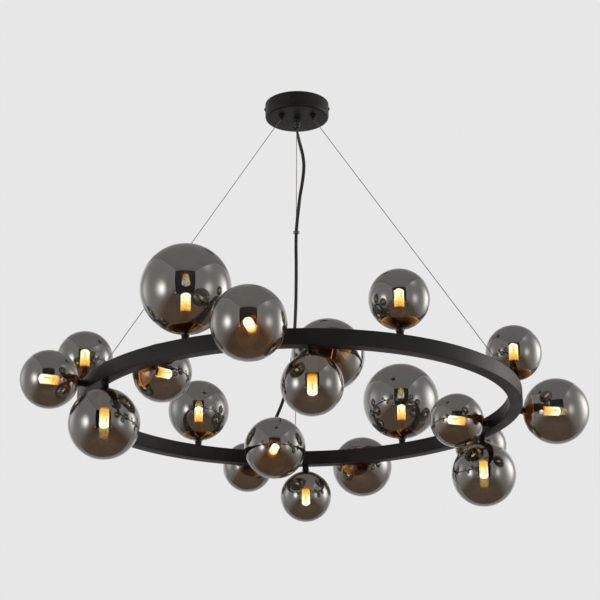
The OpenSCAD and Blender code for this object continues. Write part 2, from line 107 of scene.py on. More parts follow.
class Look:
    # One material, or the world, and the nodes in it.
    def __init__(self, owner):
        owner.use_nodes = True
        self.owner = owner
        self.tree = owner.node_tree
        self.tree.nodes.clear()

    def node(self, kind, settings=None, inputs=None, output=0):
        new = self.tree.nodes.new(kind)
        for key, value in (settings or {}).items():
            if key == "stops":
                ramp = new.color_ramp
                while len(ramp.elements) < len(value):
                    ramp.elements.new(0.5)
                for element, (place, colour) in zip(ramp.elements, value):
                    element.position = place
                    element.color = (*colour, 1)
            else:
                setattr(new, key, value)
        for key, value in (inputs or {}).items():
            if isinstance(key, int):
                socket = new.inputs[key]
            else:
                socket = next(s for s in new.inputs if key in (s.identifier, s.name))
            if isinstance(value, Wire):
                self.tree.links.new(value.socket, socket)
            elif isinstance(value, tuple) and len(value) == 3 and socket.type == "RGBA":
                socket.default_value = (*value, 1)
            else:
                socket.default_value = value
        if not new.outputs:
            return new
        if isinstance(output, int):
            return Wire(self, new.outputs[output])
        return Wire(self, next(s for s in new.outputs if output in (s.identifier, s.name)))

    def place(self):
        return self.node("ShaderNodeTexCoord", output="Object")

    def grain(self, where, scale, detail=2, roughness=0.5):
        return self.node("ShaderNodeTexNoise", {}, {
            "Vector": where, "Scale": scale, "Detail": detail, "Roughness": roughness}, "Fac")

    def stretched(self, where, scale):
        return self.node("ShaderNodeMapping", {}, {"Vector": where, "Scale": scale})

    def blend(self, share, first, second):
        return self.node("ShaderNodeMix", {"data_type": "RGBA"}, {
            "Factor_Float": share, "A_Color": first, "B_Color": second}, "Result_Color")

    def relief(self, height, depth, strength=1.0):
        return self.node("ShaderNodeBump", {}, {"Height": height, "Distance": depth, "Strength": strength})

    def finish(self, **inputs):
        named = {key.replace("_", " "): value for key, value in inputs.items()}
        skin = self.node("ShaderNodeBsdfPrincipled", {}, named)
        self.node("ShaderNodeOutputMaterial", {}, {"Surface": skin})
        return self.owner


def newLook(name):
    return Look(bpy.data.materials.new(name))


def makeBlackCoat():
    look = newLook("blackCoat")
    where = look.place()
    cloud = look.grain(where, 25, 3)
    peel = look.grain(where, 1400, 2)
    tone = look.blend(cloud, (0.006, 0.0056, 0.0054), (0.012, 0.0114, 0.011))
    return look.finish(Base_Color=tone, Roughness=0.38 + 0.14 * cloud, Specular_IOR_Level=0.28,
        Normal=look.relief(peel, 0.00012, 0.6))


def makeZincSteel():
    look = newLook("zincSteel")
    where = look.place()
    spangle = look.grain(where, 160, 3)
    scratch = look.grain(look.stretched(where, (40, 1200, 900)), 1, 2)
    tone = look.blend(spangle, (0.48, 0.48, 0.47), (0.66, 0.66, 0.64))
    return look.finish(Base_Color=tone, Metallic=1.0, Roughness=0.26 + 0.2 * spangle,
        Normal=look.relief(scratch, 0.00005, 0.5))


def makeCableSteel():
    look = newLook("cableSteel")
    where = look.place()
    wear = look.grain(where, 90, 3)
    tone = look.blend(wear, (0.16, 0.16, 0.16), (0.3, 0.3, 0.29))
    return look.finish(Base_Color=tone, Metallic=0.8, Roughness=0.42 + 0.15 * wear,
        Normal=look.relief(look.grain(where, 2500, 1), 0.00003, 0.4))


def makeBlackPlastic():
    look = newLook("blackPlastic")
    where = look.place()
    cloud = look.grain(where, 60, 2)
    mould = look.grain(where, 900, 1)
    tone = look.blend(cloud, (0.018, 0.018, 0.018), (0.034, 0.034, 0.034))
    return look.finish(Base_Color=tone, Roughness=0.3 + 0.12 * cloud,
        Normal=look.relief(mould, 0.00004, 0.2))


def makeClearPlastic():
    look = newLook("clearPlastic")
    where = look.place()
    cloud = look.grain(where, 200, 2)
    tone = look.blend(cloud, (0.42, 0.42, 0.42), (0.62, 0.62, 0.61))
    return look.finish(Base_Color=tone, Roughness=0.12 + 0.1 * cloud, Alpha=0.75 + 0.2 * cloud,
        Normal=look.relief(cloud, 0.0001, 0.3))


def makePlainPlastic(name, dark, light):
    look = newLook(name)
    where = look.place()
    cloud = look.grain(where, 80, 2)
    mould = look.grain(where, 2200, 1)
    return look.finish(Base_Color=look.blend(cloud, dark, light), Roughness=0.34 + 0.12 * cloud,
        Normal=look.relief(mould, 0.00005, 0.5))


def makeCeramic():
    look = newLook("ceramic")
    where = look.place()
    cloud = look.grain(where, 120, 3)
    tone = look.blend(cloud, (0.74, 0.71, 0.66), (0.86, 0.84, 0.8))
    return look.finish(Base_Color=tone, Roughness=0.22 + 0.16 * cloud,
        Normal=look.relief(look.grain(where, 1500, 2), 0.00006, 0.4))


def makeSpunBrass(name, glow):
    # Turned rings follow the distance from the cup's own axis and the height along it.
    # Painted light: an emission paints the bulb's light, which the smoked glass keeps in, as a glow on the
    # rim, the flanks and a few streaks, and near the top of the column.
    look = newLook(name)
    where = look.place()
    split = look.node("ShaderNodeSeparateXYZ", {}, {"Vector": where})
    x, y, z = [Wire(look, split.socket.node.outputs[axis]) for axis in "XYZ"]
    radius = (x * x + y * y) ** 0.5
    rings = look.node("ShaderNodeCombineXYZ", {}, {"X": radius * 620, "Y": z * 420})
    turning = look.grain(rings, 1, 3, 0.65)
    spokes = look.node("ShaderNodeCombineXYZ", {}, {
        "X": x / radius * 5, "Y": y / radius * 5, "Z": radius * 25})
    streak = look.grain(spokes, 1, 3, 0.6)
    golden = look.blend(turning, (0.56, 0.3, 0.09), (0.86, 0.52, 0.2))
    tone = look.blend(streak * look.grain(where, 70, 3), golden, (0.36, 0.17, 0.05))
    height = look.node("ShaderNodeMapRange", {}, {"Value": z, "From Min": cupFloor, "From Max": columnTop})
    # Painted highlight on the faces turned partly towards the left or right, by their direction in the
    # world.
    outward = look.node("ShaderNodeNewGeometry", output="Normal")
    sideways = look.node("ShaderNodeSeparateXYZ", {}, {"Vector": outward}, "X")
    flank = look.node("ShaderNodeValToRGB", {"stops": [(0.06, (0, 0, 0)), (0.3, (1, 1, 1)),
        (0.4, (0.9, 0.9, 0.9)), (0.7, (0.15, 0.15, 0.15))]}, {"Fac": sideways * sideways}, "Color")
    edge = look.node("ShaderNodeLayerWeight", {}, {"Blend": 0.5}, "Facing")
    glint = look.node("ShaderNodeMapRange", {}, {"Value": streak, "From Min": 0.54, "From Max": 0.66})
    # Painted highlight along the dish's rim and its grazing edge, on the glinting streaks and at the top of
    # the column.
    rim = (radius / dishRimR) ** 40
    flankHighlight = flank * (0.2 + 0.4 * glint)
    rimHighlight = rim * edge * (0.1 + 2.4 * flank)
    share = flankHighlight + rimHighlight + 0.7 * glint ** 3 + 0.3 * height ** 6
    lit = look.blend(share, (0.008, 0.002, 0.0005), (1.0, 0.4, 0.075))
    return look.finish(Base_Color=tone, Metallic=1.0, Roughness=0.2 + 0.22 * turning,
        Emission_Color=lit, Emission_Strength=glow, Normal=look.relief(turning, 0.00012, 0.8))


def makeSmokedGlass(name, dark, light, alpha):
    # Half-mirrored smoke: the alpha leaves what stands behind visible and closes towards the rim.
    look = newLook(name)
    where = look.place()
    facing = look.node("ShaderNodeLayerWeight", {}, {"Blend": 0.5}, "Facing")
    smudge = look.grain(where, 30, 3)
    tone = look.blend(smudge, dark, light)
    edged = look.blend(facing ** 9, tone, (0.95, 0.94, 0.92))
    return look.finish(Base_Color=edged, Metallic=1.0, Roughness=0.012 + 0.02 * smudge,
        Alpha=alpha + (0.96 - alpha) * facing ** 4,
        Normal=look.relief(look.grain(where, 14, 1), 0.0004, 0.12))


def makeFrostedBulb(low, high):
    # Golden where the seal stands behind the frost, then nearly white, and brightest along its edges.
    # The light strip inside shows as a fine darker line up the middle of each side.
    look = newLook("frostedBulb")
    where = look.place()
    split = look.node("ShaderNodeSeparateXYZ", {}, {"Vector": where})
    x, y, z = [Wire(look, split.socket.node.outputs[axis]) for axis in "XYZ"]
    height = (z - low) / (high - low)
    edge = look.node("ShaderNodeLayerWeight", {}, {"Blend": 0.5}, "Facing")
    core = look.node("ShaderNodeValToRGB", {"stops": [
        (0.0, (0.2, 0.067, 0.003)), (0.06, (0.45, 0.2, 0.025)), (0.14, (0.68, 0.33, 0.045)),
        (0.3, (0.7, 0.42, 0.04)), (0.45, (0.85, 0.64, 0.18)), (0.56, (0.85, 0.74, 0.4)),
        (0.9, (0.88, 0.81, 0.5)), (0.98, (0.98, 0.92, 0.7))]}, {"Fac": height}, "Color")
    brim = look.node("ShaderNodeValToRGB", {"stops": [
        (0.0, (0.2, 0.067, 0.003)), (0.06, (0.5, 0.23, 0.03)), (0.2, (0.85, 0.44, 0.07)),
        (0.45, (0.93, 0.76, 0.3)), (0.56, (0.99, 0.92, 0.64)), (0.98, (1.0, 0.95, 0.76))]},
        {"Fac": height}, "Color")
    lineWidth = 0.85 * mm
    nearX, nearY = [look.node("ShaderNodeMath", {"operation": "EXPONENT"}, {
        0: (axis * axis) * (-1 / lineWidth ** 2)}) for axis in (x, y)]
    strip = look.node("ShaderNodeValToRGB", {"stops": [(0.42, (0, 0, 0)), (0.5, (1, 1, 1)),
        (0.74, (1, 1, 1)), (0.8, (0, 0, 0))]}, {"Fac": height}, "Color")
    glow = look.blend(edge ** 0.8, core, brim)
    lit = look.blend(strip * (nearX + nearY) * 0.9, glow, (0.12, 0.11, 0.04))
    frost = look.grain(where, 900, 2)
    return look.finish(Base_Color=(0.9, 0.86, 0.78), Roughness=0.4 + 0.2 * frost,
        Emission_Color=lit, Emission_Strength=11,
        Normal=look.relief(frost, 0.00008, 0.5))


def makeBulbFoot():
    look = newLook("bulbFoot")
    where = look.place()
    cloud = look.grain(where, 300, 2)
    tone = look.blend(cloud, (0.8, 0.42, 0.14), (0.9, 0.6, 0.28))
    return look.finish(Base_Color=tone, Roughness=0.12 + 0.1 * cloud,
        Emission_Color=tone, Emission_Strength=0.35, Normal=look.relief(cloud, 0.0002, 0.4))


print("materials")
blackCoat = makeBlackCoat()
zincSteel = makeZincSteel()
cableSteel = makeCableSteel()
blackPlastic = makeBlackPlastic()
clearPlastic = makeClearPlastic()
ivoryPlastic = makePlainPlastic("ivoryPlastic", (0.62, 0.58, 0.48), (0.74, 0.7, 0.6))
wirePlastic = makePlainPlastic("wirePlastic", (0.6, 0.6, 0.58), (0.74, 0.74, 0.72))
ceramic = makeCeramic()
dishBrass = makeSpunBrass("dishBrass", 4.0)
columnBrass = makeSpunBrass("columnBrass", 0.5)
smokedGlass = makeSmokedGlass("smokedGlass", (0.31, 0.303, 0.285), (0.365, 0.357, 0.338), 0.66)
neckGlass = makeSmokedGlass("neckGlass", (0.1, 0.096, 0.09), (0.15, 0.145, 0.135), 0.56)
bulbFoot = makeBulbFoot()


def addPiece(name, mesh, body, replaced=(), place=None):
    piece = bpy.data.objects.new(name, mesh)
    bpy.context.collection.objects.link(piece)
    if place is not None:
        piece.matrix_world = place
    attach(piece, body)
    for node in replaced:
        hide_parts(node)
    return piece


def meshOf(name, verts, faces, materials, sharpAngle=38, groups=None):
    mesh = bpy.data.meshes.new(name)
    mesh.from_pydata(verts, [], faces)
    mesh.validate()
    mesh.shade_smooth()
    mesh.set_sharp_from_angle(angle=math.radians(sharpAngle))
    for material in materials:
        mesh.materials.append(material)
    if groups:
        for face, group in zip(mesh.polygons, groups):
            face.material_index = group
    return mesh


def rounded(points, steps=5):
    # A profile from corners (r, z, fillet), with each fillet drawn as a short curve.
    line = []
    for k, (r, z, fillet) in enumerate(points):
        here = Vector((r, z))
        if fillet <= 0:
            line.append((r, z))
            continue
        back = Vector(points[k - 1][:2]) - here
        ahead = Vector(points[(k + 1) % len(points)][:2]) - here
        start = here + back.normalized() * min(fillet, back.length / 2)
        end = here + ahead.normalized() * min(fillet, ahead.length / 2)
        for n in range(steps + 1):
            t = n / steps
            line.append(tuple((1 - t) ** 2 * start + 2 * t * (1 - t) * here + t * t * end))
    return line


def lathe(profile, segments=72, closed=False, shape=None):
    # Turns a profile (r, z) about Z; it runs upwards on the outside.
    verts, faces, rows = [], [], []
    angles = [2 * math.pi * k / segments for k in range(segments)]
    for r, z in profile:
        if r < 1e-7:
            rows.append([len(verts)])
            verts.append((0, 0, z))
            continue
        rows.append(list(range(len(verts), len(verts) + segments)))
        for angle in angles:
            reach = r * shape(angle, z) if shape else r
            verts.append((reach * math.cos(angle), reach * math.sin(angle), z))
    pairs = list(zip(rows, rows[1:]))
    if closed:
        pairs.append((rows[-1], rows[0]))
    for low, high in pairs:
        for k in range(segments):
            n = (k + 1) % segments
            if len(low) == 1:
                faces.append((low[0], high[n], high[k]))
            elif len(high) == 1:
                faces.append((low[k], low[n], high[0]))
            else:
                faces.append((low[k], low[n], high[n], high[k]))
    return verts, faces


def arc(centreZ, radius, start, end, steps):
    # Points (r, z) on a circle round the axis, by the angle from its lowest point.
    line = []
    for n in range(steps + 1):
        angle = math.radians(start + (end - start) * n / steps)
        line.append((radius * math.sin(angle), centreZ - radius * math.cos(angle)))
    return line


def joined(*parts):
    # One list of verts and faces from several, with the number of the part for each face.
    verts, faces, groups = [], [], []
    for k, (partVerts, partFaces) in enumerate(parts):
        faces += [tuple(v + len(verts) for v in face) for face in partFaces]
        groups += [k] * len(partFaces)
        verts += partVerts
    return verts, faces, groups


def sweep(path, section, sides):
    # A closed tube along a path; section(k) gives the points of its cross-section at step k.
    verts, faces = [], []
    for k in range(len(path)):
        verts += section(k)
    for k in range(len(path) - 1):
        for n in range(sides):
            m = (n + 1) % sides
            faces.append((sides * k + n, sides * k + m, sides * (k + 1) + m, sides * (k + 1) + n))
    faces.append(tuple(range(sides - 1, -1, -1)))
    faces.append(tuple(range(len(verts) - sides, len(verts))))
    return verts, faces


def makeCanopy():
    cup = {"wall": 1.2 * mm, "edge": 5 * mm, "rim": 0.5 * mm}
    r, low = fixture["canopyR"], -fixture["canopyHeight"]
    profile = rounded([
        (0, low, 0), (r, low, cup["edge"] * 1.25), (r, 0, cup["rim"]),
        (r - cup["wall"], 0, cup["rim"]), (r - cup["wall"], low + cup["wall"], cup["edge"]),
        (0, low + cup["wall"], 0)], 8)
    verts, faces = lathe(profile, 160)
    mesh = meshOf("canopyCup", verts, faces, [blackCoat])
    addPiece("canopyCup", mesh, "fixture", ["canopy"])


def makeCordGrip():
    # A strain-relief gland: a flange, a fluted nut and the claws that close on the cord.
    grip = {"r": 6.5 * mm, "height": 17 * mm, "flange": 2 * mm, "neckR": 5.85 * mm, "flutes": 12,
        "fluteDepth": 0.05, "claws": 6, "clawHeight": 5 * mm, "slotReach": 0.78, "slotShare": 0.55}
    top = -fixture["canopyHeight"]
    low = top - grip["height"]
    clawTop = low + grip["clawHeight"]
    under = top - grip["flange"]
    r, neckR = grip["r"], grip["neckR"]

    def shape(angle, z):
        if z > under - 0.1 * mm:
            return 1.0
        if z < clawTop - 0.2 * mm:
            inSlot = math.cos(angle * grip["claws"]) > grip["slotShare"]
            return grip["slotReach"] if inSlot else 1.0
        return 1.0 - grip["fluteDepth"] * (0.5 + 0.5 * math.cos(angle * grip["flutes"]))

    profile = [(0, low + 2 * mm), (2.6 * mm, low + 2 * mm), (3.4 * mm, low), (4.4 * mm, low)]
    profile += [(5.2 * mm, low + 1.6 * mm), (5.6 * mm, clawTop - 0.6 * mm), (5.7 * mm, clawTop - 0.1 * mm)]
    profile += [(r * 0.93, clawTop + 0.2 * mm), (r, clawTop + 1 * mm)]
    profile += [(r, under - 0.6 * mm), (neckR, under - 0.2 * mm)]
    profile += rounded([(neckR, under, 0), (r, under, 0.4 * mm), (r, top, 0.2 * mm), (0, top, 0)])
    verts, faces = lathe(profile, 144, shape=shape)
    mesh = meshOf("cordGland", verts, faces, [blackPlastic], 30)
    addPiece("cordGland", mesh, "fixture", ["cord_grip"])


def cableEnds(azimuth):
    turn = Matrix.Rotation(math.radians(azimuth), 4, "Z")
    outlet = turn @ Vector((fixture["outletR"], 0, -fixture["canopyHeight"] - fixture["ballReach"]))
    anchor = turn @ Vector((ringMidR, 0, ringTop + fixture["ballReach"]))
    return outlet, anchor


def makeBallJoints():
    # A swivel ball in a rounded flange: three under the canopy, three on the ring.
    ball = {"r": 4 * mm, "flangeR": 6 * mm, "flangeHeight": 3.5 * mm}
    reach = fixture["ballReach"]
    wide, high = ball["flangeR"], ball["flangeHeight"]
    neck = math.degrees(math.acos((reach - high) / ball["r"]))
    profile = list(reversed(arc(reach, ball["r"], 180, neck, 14)))
    flange = rounded([(0, 0, 0), (wide, 0, 0.3 * mm), (wide, high, 1.2 * mm),
        (ball["r"] + 0.4 * mm, high, 0.2 * mm)])
    verts, faces = lathe(flange + profile, 64)
    mesh = meshOf("swivelBall", verts, faces, [blackCoat], 34)
    for k, azimuth in enumerate(fixture["cableAzimuths"]):
        outlet, anchor = cableEnds(azimuth)
        under = Matrix.Translation((outlet.x, outlet.y, -fixture["canopyHeight"]))
        under = under @ Matrix.Rotation(math.pi, 4, "X")
        addPiece(f"outletBall{k + 1}", mesh, "fixture", ["cable_outlets"], under)
        onRing = Matrix.Translation((anchor.x, anchor.y, ringTop))
        addPiece(f"anchorBall{k + 1}", mesh, "fixture", ["cable_anchors"], onRing)


def makeCables():
    # Twisted steel wire: a lobed section that turns as it goes.
    rope = {"r": 0.75 * mm, "lobes": 6, "groove": 0.16, "pitch": 9 * mm, "step": 1.5 * mm, "sides": 24,
        "bend": 1.2 * mm, "tail": -9.8 * mm}
    for node, azimuth in zip(("rear", "left", "right"), fixture["cableAzimuths"]):
        outlet, anchor = cableEnds(azimuth)
        inward = (outlet - anchor).normalized()
        side = inward.cross(up).normalized()
        bend = rope["bend"]
        steps = int(((outlet - anchor).length - bend) / rope["step"])
        path = [anchor + inward * (rope["step"] * k) for k in range(steps)]
        path.append(outlet - inward * bend)
        path += [outlet + up * bend, Vector((outlet.x, outlet.y, rope["tail"]))]

        def section(k):
            along = (path[min(k + 1, len(path) - 1)] - path[max(k - 1, 0)]).normalized()
            across = side.cross(along).normalized()
            twist = 2 * math.pi * k * rope["step"] / rope["pitch"]
            points = []
            for n in range(rope["sides"]):
                angle = 2 * math.pi * n / rope["sides"]
                reach = rope["r"] * (1 - rope["groove"] * abs(math.sin(rope["lobes"] / 2 * angle)))
                x, y = reach * math.cos(angle + twist), reach * math.sin(angle + twist)
                points.append(path[k] + side * x + across * y)
            return points

        verts, faces = sweep(path, section, rope["sides"])
        mesh = meshOf("cable_" + node, verts, faces, [cableSteel], 60)
        addPiece("wireRope_" + node, mesh, "fixture", ["suspension_cable_" + node])


cord = {
    "width": 6.4 * mm,
    "thickness": 3 * mm,
    "waist": 0.3,
    "waistHalf": 0.9 * mm,
    "sides": 28,
    "stepsPerPoint": 6,
    # x, y, z in millimetres and the azimuth that the cord's width faces
    "route": [
        (0, 0, -47, 60), (0, 0, -54, 60), (2, 3, -66, 40), (6, 12, -80, 20), (10, 24, -93, 0),
        (12, 38, -106, 0), (11, 55, -119, 0), (8, 73, -134, 0), (4, 91, -150, 0), (1, 108, -169, 0),
        (-2, 123, -190, 0), (-4, 139, -211, 0), (-4.5, 154, -234, 0), (-4.5, 171, -261, 0),
        (-5, 190, -292, 0), (-6, 210, -325, 0), (-8, 231, -360, 0), (-11, 252, -395, 0),
        (-16, 275, -429, 0), (-23, 299, -460, 0), (-33, 323, -488, 0), (-45, 345, -512, 0),
        (-58, 362, -534, 0), (-68, 372, -553, 0), (-73, 376, -568, 0), (-73, 376, -578, 0)],
}


def makePowerCord():
    # Two cores side by side under one sheath, along a smooth curve through the route's points.
    route = [Vector((x * mm, y * mm, z * mm, facing)) for x, y, z, facing in cord["route"]]
    ends = [2 * route[0] - route[1]] + route + [2 * route[-1] - route[-2]]
    line = []
    for k in range(len(route) - 1):
        a, b, c, d = ends[k:k + 4]
        for n in range(cord["stepsPerPoint"]):
            u = n / cord["stepsPerPoint"]
            line.append(0.5 * (2 * b + u * (c - a) + u ** 2 * (2 * a - 5 * b + 4 * c - d)
                + u ** 3 * (3 * b - a - 3 * c + d)))
    line.append(route[-1])
    path = [Vector(p[:3]) for p in line]
    sides = cord["sides"]
    half, core = (cord["width"] - cord["thickness"]) / 2, cord["thickness"] / 2

    def section(k):
        along = (path[min(k + 1, len(path) - 1)] - path[max(k - 1, 0)]).normalized()
        facing = math.radians(line[k][3])
        wide = Vector((math.cos(facing), math.sin(facing), 0))
        wide = (wide - along * wide.dot(along)).normalized()
        thick = along.cross(wide)
        points = []
        for n in range(sides):
            angle = 2 * math.pi * (n + 0.5) / sides
            x, y = math.cos(angle), math.sin(angle)
            width = math.copysign(half, x) + core * x
            waist = 1 - cord["waist"] * math.exp(-(width / cord["waistHalf"]) ** 2)
            points.append(path[k] + wide * width + thick * (core * y * waist))
        return points

    verts, faces = sweep(path, section, sides)
    mesh = meshOf("twinCord", verts, faces, [blackPlastic], 60)
    piece = addPiece("twinCord", mesh, "fixture", ["power_cord"])


def makeCordClip():
    # A two-lobed clear clip that holds the cord against the rear cable.
    clip = {"width": 13 * mm, "depth": 8.5 * mm, "height": 6 * mm, "run": 200 * mm, "cordGap": 2.75 * mm,
        "waist": 0.22, "waistHalf": 2.2 * mm, "sides": 48}
    outlet, anchor = cableEnds(fixture["cableAzimuths"][0])
    along = (outlet - anchor).normalized()
    side = up.cross(Vector((anchor.x, anchor.y, 0))).normalized()
    front = side.cross(along).normalized()
    centre = outlet - along * clip["run"] - front * (clip["cordGap"] / 2)
    sides, verts, faces, rows = clip["sides"], [], [], []
    half, core = (clip["width"] - clip["depth"]) / 2, clip["depth"] / 2
    # The share of its thickness at each height in millimetres: the ends are softened
    softEnds = [(0.82, 0), (0.94, 0.3), (1, 0.9), (1, 5.1), (0.94, 5.7), (0.82, 6)]
    for scale, height in softEnds:
        rows.append(len(verts))
        for n in range(sides):
            angle = 2 * math.pi * (n + 0.5) / sides
            x, y = math.cos(angle), math.sin(angle)
            width = math.copysign(half, x) + core * x * scale
            waist = 1 - clip["waist"] * math.exp(-(width / clip["waistHalf"]) ** 2)
            spot = centre + side * width + front * (core * y * scale * waist)
            verts.append(spot + along * (height * mm - clip["height"] / 2))
    for low, high in zip(rows, rows[1:]):
        for n in range(sides):
            m = (n + 1) % sides
            faces.append((low + n, low + m, high + m, high + n))
    faces.append(tuple(range(sides - 1, -1, -1)))
    faces.append(tuple(range(rows[-1], rows[-1] + sides)))
    mesh = meshOf("cableClip", verts, faces, [clearPlastic], 40)
    addPiece("cableClip", mesh, "fixture", ["cord_clip"])


def makeGrommet():
    entry = {"azimuth": 101, "r": 6 * mm, "height": 1.5 * mm, "lip": 0.6 * mm, "dishR": 4 * mm,
        "floorR": 3.6 * mm, "floor": 1.05 * mm}
    profile = rounded([(0, 0, 0), (entry["r"], 0, 0.2 * mm), (entry["r"], entry["height"], entry["lip"]),
        (entry["dishR"], entry["height"], 0.4 * mm), (entry["floorR"], entry["floor"], 0.2 * mm),
        (0, entry["floor"], 0)])
    verts, faces = lathe(profile, 64)
    angle = math.radians(entry["azimuth"])
    place = Matrix.Translation((ringMidR * math.cos(angle), ringMidR * math.sin(angle), ringTop))
    mesh = meshOf("cordGrommet", verts, faces, [blackPlastic])
    addPiece("cordGrommet", mesh, "fixture", ["cord_grommet"], place)


def makeRing():
    ring = {"corner": 1.1 * mm, "segments": 420}
    corner = ring["corner"]
    outer, inner = fixture["ringOuterR"], fixture["ringOuterR"] - fixture["ringWidth"]
    low, high = -fixture["ringDrop"] - fixture["ringHeight"] / 2, ringTop
    profile = rounded([(inner, low, corner), (outer, low, corner), (outer, high, corner),
        (inner, high, corner)], 4)
    verts, faces = lathe(profile, ring["segments"], closed=True)
    mesh = meshOf("ringTube", verts, faces, [blackCoat])
    addPiece("ringTube", mesh, "fixture", ["ring_tube"])


def lampFrames():
    # Each lamp's number, its place on the ring's face and its globe's diameter, from the hinges.
    lamps = []
    for joint in frame["joints"]:
        if joint["type"] != "hinge":
            continue
        number = joint["child"].split("_")[1]
        axis = Vector(joint["axis"]).normalized()
        pole = Vector(joint["pos_m"])
        radial = Vector((pole.x, pole.y, 0)).normalized()
        tangent = up.cross(radial)
        across = tangent.cross(axis)
        face = pole - axis * glassPole
        place = Matrix((
            (across.x, tangent.x, axis.x, face.x), (across.y, tangent.y, axis.y, face.y),
            (across.z, tangent.z, axis.z, face.z), (0, 0, 0, 1)))
        low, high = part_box("globe_" + number)
        sizes = [h - l for l, h in zip(low, high)]
        lamps.append((number, place, round(sorted(sizes)[1] / mm) * mm))
    return lamps


def stemMesh():
    stem = {"r": 6.5 * mm, "length": 8.5 * mm, "foot": -4 * mm, "threadR": 5 * mm, "edge": 0.5 * mm,
        "collar": 1.4 * mm, "slope": 0.4 * mm, "waist": 0.35 * mm, "soft": 0.2 * mm}
    r, threadR, length, soft = stem["r"], stem["threadR"], stem["length"], stem["soft"]
    waistR, collar = r - stem["waist"], stem["collar"]
    waistLow = collar + stem["slope"]
    profile = rounded([(0, stem["foot"], 0), (threadR, stem["foot"], 0), (threadR, 0, 0),
        (r, 0, 0.15 * mm), (r, collar, soft), (waistR, waistLow, soft),
        (waistR, length - waistLow, soft), (r, length - collar, soft),
        (r, length, stem["edge"]), (threadR, length, 0),
        (threadR, cupFloor, 0.3 * mm), (0, cupFloor, 0)], 3)
    verts, faces = lathe(profile, 64)
    return meshOf("stem", verts, faces, [blackCoat])


def cupMesh(diameter):
    # The dish and the column on it are one turned piece, and the dish hugs the inside of the globe.
    cup = {"gap": 0.3 * mm, "wall": 1.2 * mm, "rimR": dishRimR, "holeR": 5.05 * mm, "columnR": 10.5 * mm,
        "boreR": 9 * mm, "groove": 0.5 * mm}
    r, boreR, depth = cup["columnR"], cup["boreR"], cup["groove"]
    centre = glassPole + diameter / 2
    curve = diameter / 2 - glassWall - cup["gap"]
    reach = math.degrees(math.asin(cup["rimR"] / curve))
    start = math.degrees(math.asin(cup["holeR"] / curve))
    inner = curve - cup["wall"]
    innerReach = math.degrees(math.asin((cup["rimR"] - 0.3 * mm) / inner))
    innerStart = math.degrees(math.asin((r + 1.4 * mm) / inner))
    outside = arc(centre, curve, start, reach - 0.5, 24)
    rim = arc(centre, curve, reach - 0.25, reach, 1)
    lip = [(cup["rimR"], rim[-1][1] + 0.5 * mm), (cup["rimR"] - 0.5 * mm, rim[-1][1] + 0.9 * mm)]
    inside = list(reversed(arc(centre, inner, innerStart, innerReach - 0.6, 24)))
    column = [(r + 0.4 * mm, inside[-1][1] + 0.1 * mm), (r, inside[-1][1] + 0.6 * mm)]
    for height in (0.32, 0.5, 0.75):
        z = cupFloor + height * (columnTop - cupFloor)
        column += [(r, z - 0.15 * mm), (r - depth, z + 0.1 * mm)]
        column += [(r - depth, z + 0.9 * mm), (r, z + 1.15 * mm)]
    column += rounded([(r, columnTop - 1.4 * mm, 0), (r, columnTop, 0.5 * mm), (boreR, columnTop, 0.5 * mm),
        (boreR, cupFloor, 0.3 * mm), (cup["holeR"], cupFloor, 0)], 4)
    segments, dish = 96, outside + rim
    verts, faces = lathe(dish + lip + inside + column, segments, closed=True)
    dishFaces = (len(dish) - 1) * segments
    groups = [0 if k < dishFaces else 1 for k in range(len(faces))]
    return meshOf("lampCup", verts, faces, [dishBrass, columnBrass], 30, groups)


def globeMesh(name, diameter, place):
    # A blown shell that is drawn down to a short neck round its mouth, at its place on the ring.
    # The coating is thinner round the neck, as far out as the rim of the dish in it.
    neck = {"height": 4 * mm, "r": 7 * mm, "flareR": 13.5 * mm, "mouth": 5.1 * mm, "edge": 0.5 * mm}
    radius, inside = diameter / 2, diameter / 2 - glassWall
    centre, low = glassPole + radius, glassPole - neck["height"]
    r, mouth, edge = neck["r"], neck["mouth"], neck["edge"]
    outerStart = math.degrees(math.asin(neck["flareR"] / radius))
    innerStart = math.degrees(math.asin((mouth + edge) / inside))
    outer = arc(centre, radius, outerStart, 180, 64)
    inner = list(reversed(arc(centre, inside, innerStart, 180, 64)))
    lip = rounded([(mouth, inner[-1][1] - edge, 0), (mouth, low, edge), (r, low, edge), (r, low, 0)], 4)
    start = Vector((r, low + edge))
    bend = Vector((r + 1 * mm, glassPole))
    end = Vector(outer[0])
    flare = []
    for t in (0, 0.2, 0.4, 0.6, 0.8):
        flare.append(tuple((1 - t) ** 2 * start + 2 * t * (1 - t) * bend + t * t * end))
    profile, segments = inner + lip[:-1] + flare + outer, 112
    verts, faces = lathe(profile, segments)
    groups = []
    for (r, z), following in zip(profile, profile[1:]):
        groups += [1 if r + following[0] < 2 * dishRimR and z < centre else 0] * segments
    mesh = meshOf(name, verts, faces, [smokedGlass, neckGlass], 50, groups)
    mesh.transform(place)
    return mesh


